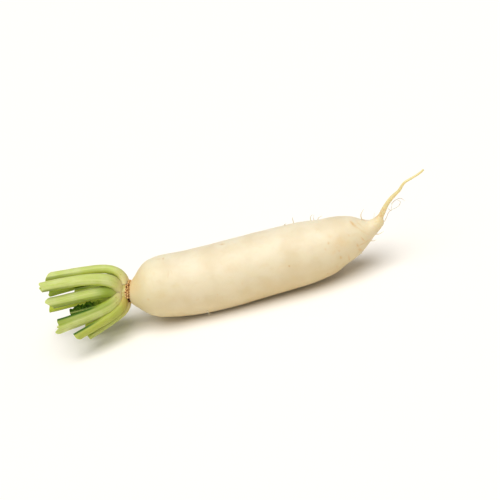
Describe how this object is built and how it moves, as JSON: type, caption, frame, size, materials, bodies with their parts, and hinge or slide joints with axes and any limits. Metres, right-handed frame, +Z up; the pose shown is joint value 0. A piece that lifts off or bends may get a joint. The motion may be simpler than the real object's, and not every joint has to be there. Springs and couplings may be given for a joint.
{
  "type": "daikon radish",
  "caption": "Whole white daikon radish lying on its side, with its cut green leaf stalks, brown crown collar and thin curved tail.",
  "frame": {"origin": "on the surface it rests on, under the middle of the whole daikon", "axes": "+X along the root from the leaf stalks to the tail, +Y away from the side shown in the picture, +Z up"},
  "size_m": [0.4269, 0.079, 0.0947],
  "materials": {
    "root_skin": "moist satin cream-white skin with faint crosswise pores and tan root scars",
    "crown_cork": "dry matt brown cork of old leaf scars, paling to green-white where the stalks begin",
    "leaf_stalk": "smooth juicy yellow-green stalk with fine lengthwise ribs and a pale base",
    "leaf_blade": "dark green crinkled leaf blade"
  },
  "bodies": {
    "root": {"root": "root_skin", "crown": "crown_cork", "stalk_top": "leaf_stalk", "stalk_upper_near": "leaf_stalk", "stalk_lower_near": "leaf_stalk", "stalk_under_near": "leaf_stalk", "stalk_bottom": "leaf_stalk", "stalk_under_far": "leaf_stalk", "stalk_lower_far": "leaf_stalk", "stalk_far": "leaf_stalk", "stalk_upper_far": "leaf_stalk", "stalk_inner_near": "leaf_stalk", "stalk_inner_low": "leaf_stalk", "stalk_inner_far": "leaf_stalk", "young_leaf": "leaf_blade"}
  },
  "joints": []
}
